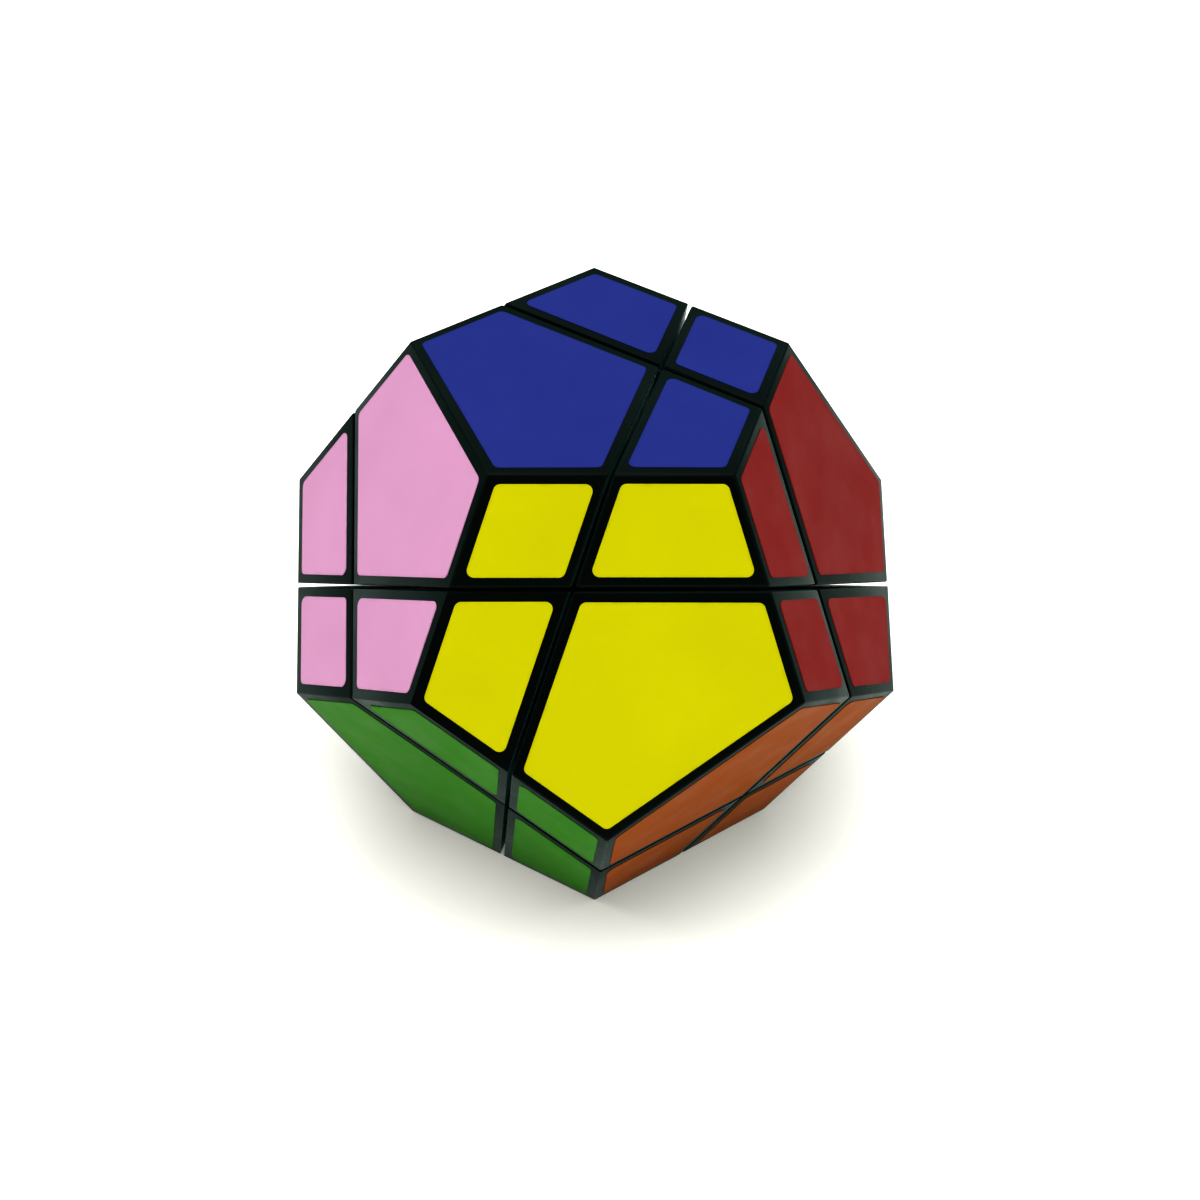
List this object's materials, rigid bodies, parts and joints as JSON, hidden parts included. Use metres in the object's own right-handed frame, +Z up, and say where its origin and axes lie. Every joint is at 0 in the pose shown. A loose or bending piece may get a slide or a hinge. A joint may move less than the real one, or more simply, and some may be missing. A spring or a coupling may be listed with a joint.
{
  "type": "dodecahedron twisty puzzle",
  "caption": "Twelve-sided twisty puzzle cut by four planes through its centre; each half turns on a spring-loaded screw in the core.",
  "frame": {"origin": "centre of the puzzle, where the four turning axes cross", "axes": "+Z up through the blue face, with the puzzle resting on the opposite white face; the yellow face looks towards -Y"},
  "size_m": [0.089, 0.0936, 0.0758],
  "materials": {
    "black_plastic": "moulded ABS, satin, edges slightly polished by handling",
    "mechanism_plastic": "moulded ABS, bare and lightly greased",
    "core_plastic": "moulded plastic ball in natural off-white",
    "zinc_steel": "bright zinc plating",
    "spring_steel": "drawn spring wire",
    "sticker_blue": "thin self-adhesive vinyl, semi-gloss",
    "sticker_pink": "thin self-adhesive vinyl, semi-gloss",
    "sticker_yellow": "thin self-adhesive vinyl, semi-gloss",
    "sticker_red": "thin self-adhesive vinyl, semi-gloss",
    "sticker_green": "thin self-adhesive vinyl, semi-gloss",
    "sticker_orange": "thin self-adhesive vinyl, semi-gloss",
    "sticker_lime": "thin self-adhesive vinyl, semi-gloss",
    "sticker_cream": "thin self-adhesive vinyl, semi-gloss",
    "sticker_violet": "thin self-adhesive vinyl, semi-gloss",
    "sticker_sky": "thin self-adhesive vinyl, semi-gloss",
    "sticker_grey": "thin self-adhesive vinyl, semi-gloss",
    "sticker_white": "thin self-adhesive vinyl, semi-gloss"
  },
  "bodies": {
    "core": {"core": "core_plastic", "axis_screw_blue_lime_cream": "zinc_steel", "axis_spring_blue_lime_cream": "spring_steel", "axis_washer_blue_lime_cream": "zinc_steel", "axis_screw_red_orange_grey": "zinc_steel", "axis_spring_red_orange_grey": "spring_steel", "axis_washer_red_orange_grey": "zinc_steel", "axis_screw_violet_sky_white": "zinc_steel", "axis_spring_violet_sky_white": "spring_steel", "axis_washer_violet_sky_white": "zinc_steel", "axis_screw_pink_yellow_green": "zinc_steel", "axis_spring_pink_yellow_green": "spring_steel", "axis_washer_pink_yellow_green": "zinc_steel"},
    "corner_blue_lime_cream": {"corner_cap_blue_lime_cream": "black_plastic", "corner_hub_blue_lime_cream": "mechanism_plastic"},
    "corner_cream_sky_grey": {"corner_cap_cream_sky_grey": "black_plastic", "corner_foot_cream_sky_grey": "mechanism_plastic"},
    "corner_blue_yellow_red": {"corner_cap_blue_yellow_red": "black_plastic", "corner_foot_blue_yellow_red": "mechanism_plastic"},
    "corner_red_orange_grey": {"corner_cap_red_orange_grey": "black_plastic", "corner_hub_red_orange_grey": "mechanism_plastic"},
    "corner_pink_lime_violet": {"corner_cap_pink_lime_violet": "black_plastic", "corner_foot_pink_lime_violet": "mechanism_plastic"},
    "corner_violet_sky_white": {"corner_cap_violet_sky_white": "black_plastic", "corner_hub_violet_sky_white": "mechanism_plastic"},
    "corner_pink_yellow_green": {"corner_cap_pink_yellow_green": "black_plastic", "corner_hub_pink_yellow_green": "mechanism_plastic"},
    "corner_green_orange_white": {"corner_cap_green_orange_white": "black_plastic", "corner_foot_green_orange_white": "mechanism_plastic"},
    "edge_red_cream": {"edge_cap_red_cream": "black_plastic", "edge_foot_red_cream": "mechanism_plastic"},
    "edge_green_violet": {"edge_cap_green_violet": "black_plastic", "edge_foot_green_violet": "mechanism_plastic"},
    "edge_lime_sky": {"edge_cap_lime_sky": "black_plastic", "edge_foot_lime_sky": "mechanism_plastic"},
    "edge_yellow_orange": {"edge_cap_yellow_orange": "black_plastic", "edge_foot_yellow_orange": "mechanism_plastic"},
    "edge_blue_pink": {"edge_cap_blue_pink": "black_plastic", "edge_foot_blue_pink": "mechanism_plastic"},
    "edge_grey_white": {"edge_cap_grey_white": "black_plastic", "edge_foot_grey_white": "mechanism_plastic"}
  },
  "joints": [
    {"name": "turn_blue_lime_cream", "type": "hinge", "parent": "core", "child": "corner_blue_lime_cream", "pos_m": [0, 0, 0], "axis": [0, 0.6071, 0.7947], "continuous": true},
    {"name": "turn_red_orange_grey", "type": "hinge", "parent": "core", "child": "corner_red_orange_grey", "pos_m": [0, 0, 0], "axis": [0.9342, -0.3035, -0.1876], "range_deg": [-360, 360]},
    {"name": "turn_violet_sky_white", "type": "hinge", "parent": "core", "child": "corner_violet_sky_white", "pos_m": [0, 0, 0], "axis": [-0.3568, 0.4911, -0.7947], "range_deg": [-360, 360]},
    {"name": "turn_pink_yellow_green", "type": "hinge", "parent": "core", "child": "corner_pink_yellow_green", "pos_m": [0, 0, 0], "axis": [-0.5774, -0.7947, 0.1876], "range_deg": [-360, 360]},
    {"name": "carry_red_cream", "type": "hinge", "parent": "corner_blue_lime_cream", "child": "edge_red_cream", "pos_m": [0, 0, 0], "axis": [0.9342, -0.3035, -0.1876], "range_deg": [-360, 360]},
    {"name": "carry_lime_sky", "type": "hinge", "parent": "corner_blue_lime_cream", "child": "edge_lime_sky", "pos_m": [0, 0, 0], "axis": [-0.3568, 0.4911, -0.7947], "range_deg": [-360, 360]},
    {"name": "carry_blue_pink", "type": "hinge", "parent": "corner_blue_lime_cream", "child": "edge_blue_pink", "pos_m": [0, 0, 0], "axis": [-0.5774, -0.7947, 0.1876], "range_deg": [-360, 360]},
    {"name": "carry_cream_sky_grey", "type": "hinge", "parent": "edge_red_cream", "child": "corner_cream_sky_grey", "pos_m": [0, 0, 0], "axis": [-0.3568, 0.4911, -0.7947], "range_deg": [-360, 360]},
    {"name": "carry_pink_lime_violet", "type": "hinge", "parent": "edge_lime_sky", "child": "corner_pink_lime_violet", "pos_m": [0, 0, 0], "axis": [-0.5774, -0.7947, 0.1876], "range_deg": [-360, 360]},
    {"name": "carry_blue_yellow_red", "type": "hinge", "parent": "edge_blue_pink", "child": "corner_blue_yellow_red", "pos_m": [0, 0, 0], "axis": [0.9342, -0.3035, -0.1876], "range_deg": [-360, 360]},
    {"name": "carry_grey_white", "type": "hinge", "parent": "corner_red_orange_grey", "child": "edge_grey_white", "pos_m": [0, 0, 0], "axis": [-0.3568, 0.4911, -0.7947], "range_deg": [-360, 360]},
    {"name": "carry_green_violet", "type": "hinge", "parent": "corner_violet_sky_white", "child": "edge_green_violet", "pos_m": [0, 0, 0], "axis": [-0.5774, -0.7947, 0.1876], "range_deg": [-360, 360]},
    {"name": "carry_yellow_orange", "type": "hinge", "parent": "corner_pink_yellow_green", "child": "edge_yellow_orange", "pos_m": [0, 0, 0], "axis": [0.9342, -0.3035, -0.1876], "range_deg": [-360, 360]},
    {"name": "carry_green_orange_white", "type": "hinge", "parent": "edge_green_violet", "child": "corner_green_orange_white", "pos_m": [0, 0, 0], "axis": [0.9342, -0.3035, -0.1876], "range_deg": [-360, 360]}
  ],
  "couplings": [
    {"joint": "carry_red_cream", "follows": "turn_red_orange_grey", "ratio": 1},
    {"joint": "carry_lime_sky", "follows": "turn_violet_sky_white", "ratio": 1},
    {"joint": "carry_blue_pink", "follows": "turn_pink_yellow_green", "ratio": 1},
    {"joint": "carry_cream_sky_grey", "follows": "turn_violet_sky_white", "ratio": 1},
    {"joint": "carry_pink_lime_violet", "follows": "turn_pink_yellow_green", "ratio": 1},
    {"joint": "carry_blue_yellow_red", "follows": "turn_red_orange_grey", "ratio": 1},
    {"joint": "carry_grey_white", "follows": "turn_violet_sky_white", "ratio": 1},
    {"joint": "carry_green_violet", "follows": "turn_pink_yellow_green", "ratio": 1},
    {"joint": "carry_yellow_orange", "follows": "turn_red_orange_grey", "ratio": 1},
    {"joint": "carry_green_orange_white", "follows": "turn_red_orange_grey", "ratio": 1}
  ]
}
